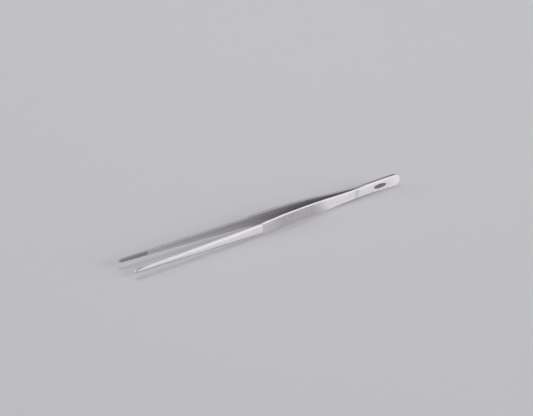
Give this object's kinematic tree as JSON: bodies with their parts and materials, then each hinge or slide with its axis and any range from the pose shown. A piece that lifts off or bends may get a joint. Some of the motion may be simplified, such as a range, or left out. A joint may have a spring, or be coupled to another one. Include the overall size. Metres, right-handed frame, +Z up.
{
  "type": "print tongs",
  "caption": "Long sprung tweezer tongs: two steel strip arms joined at a rounded head, with flat grips and narrow crowned jaws with fine teeth.",
  "frame": {"origin": "middle of the length and of the spread, at the lower edges of the arms", "axes": "+X from the tips to the head, +Y from the front arm to the rear arm, +Z up across the width of the strip"},
  "size_m": [0.3, 0.0258, 0.0113],
  "materials": {
    "brushed_steel": "fine brushed stainless steel, satin on the grips",
    "weld_steel": "plain weld metal, hidden inside the head"
  },
  "bodies": {
    "head": {"front_arm_heel": "brushed_steel", "rear_arm_heel": "brushed_steel", "head_weld_nuggets": "weld_steel"},
    "front_arm": {"front_arm_grip": "brushed_steel", "front_arm_jaw": "brushed_steel"},
    "rear_arm": {"rear_arm_grip": "brushed_steel", "rear_arm_jaw": "brushed_steel"}
  },
  "joints": [
    {"name": "front_arm_squeeze", "type": "hinge", "parent": "head", "child": "front_arm", "pos_m": [0.08007, -0.00329, 0.00565], "axis": [0, 0, -1], "range_deg": [0, 2.63], "stiffness_Nm_per_rad": 12},
    {"name": "rear_arm_squeeze", "type": "hinge", "parent": "head", "child": "rear_arm", "pos_m": [0.08007, 0.00329, 0.00565], "axis": [0, 0, 1], "range_deg": [0, 2.63], "stiffness_Nm_per_rad": 12}
  ]
}
